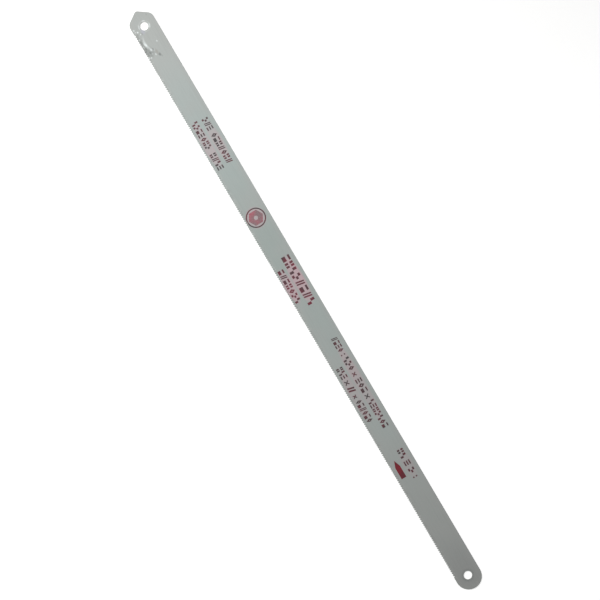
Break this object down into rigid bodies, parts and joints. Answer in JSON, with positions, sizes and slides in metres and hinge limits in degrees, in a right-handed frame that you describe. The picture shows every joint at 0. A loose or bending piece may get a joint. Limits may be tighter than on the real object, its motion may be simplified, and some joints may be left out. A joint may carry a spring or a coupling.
{
  "type": "hacksaw blade",
  "caption": "Flat hand hacksaw blade: painted steel strip with a blunt pointed nose, a round tail, a pin hole near each end and fine wavy-set teeth along one edge.",
  "frame": {"origin": "midway between the centres of the two pin holes, at half the thickness of the sheet", "axes": "+X along the blade from the nose to the round tail, +Y towards the plain back edge with the teeth on -Y, +Z out of the printed face"},
  "size_m": [0.3147, 0.0126, 0.001],
  "materials": {
    "enamel": "satin pale grey-green enamel with dark red print, worn to bright steel in places near the nose and on the tooth tips"
  },
  "bodies": {
    "root": {"blade": "enamel"}
  },
  "joints": []
}
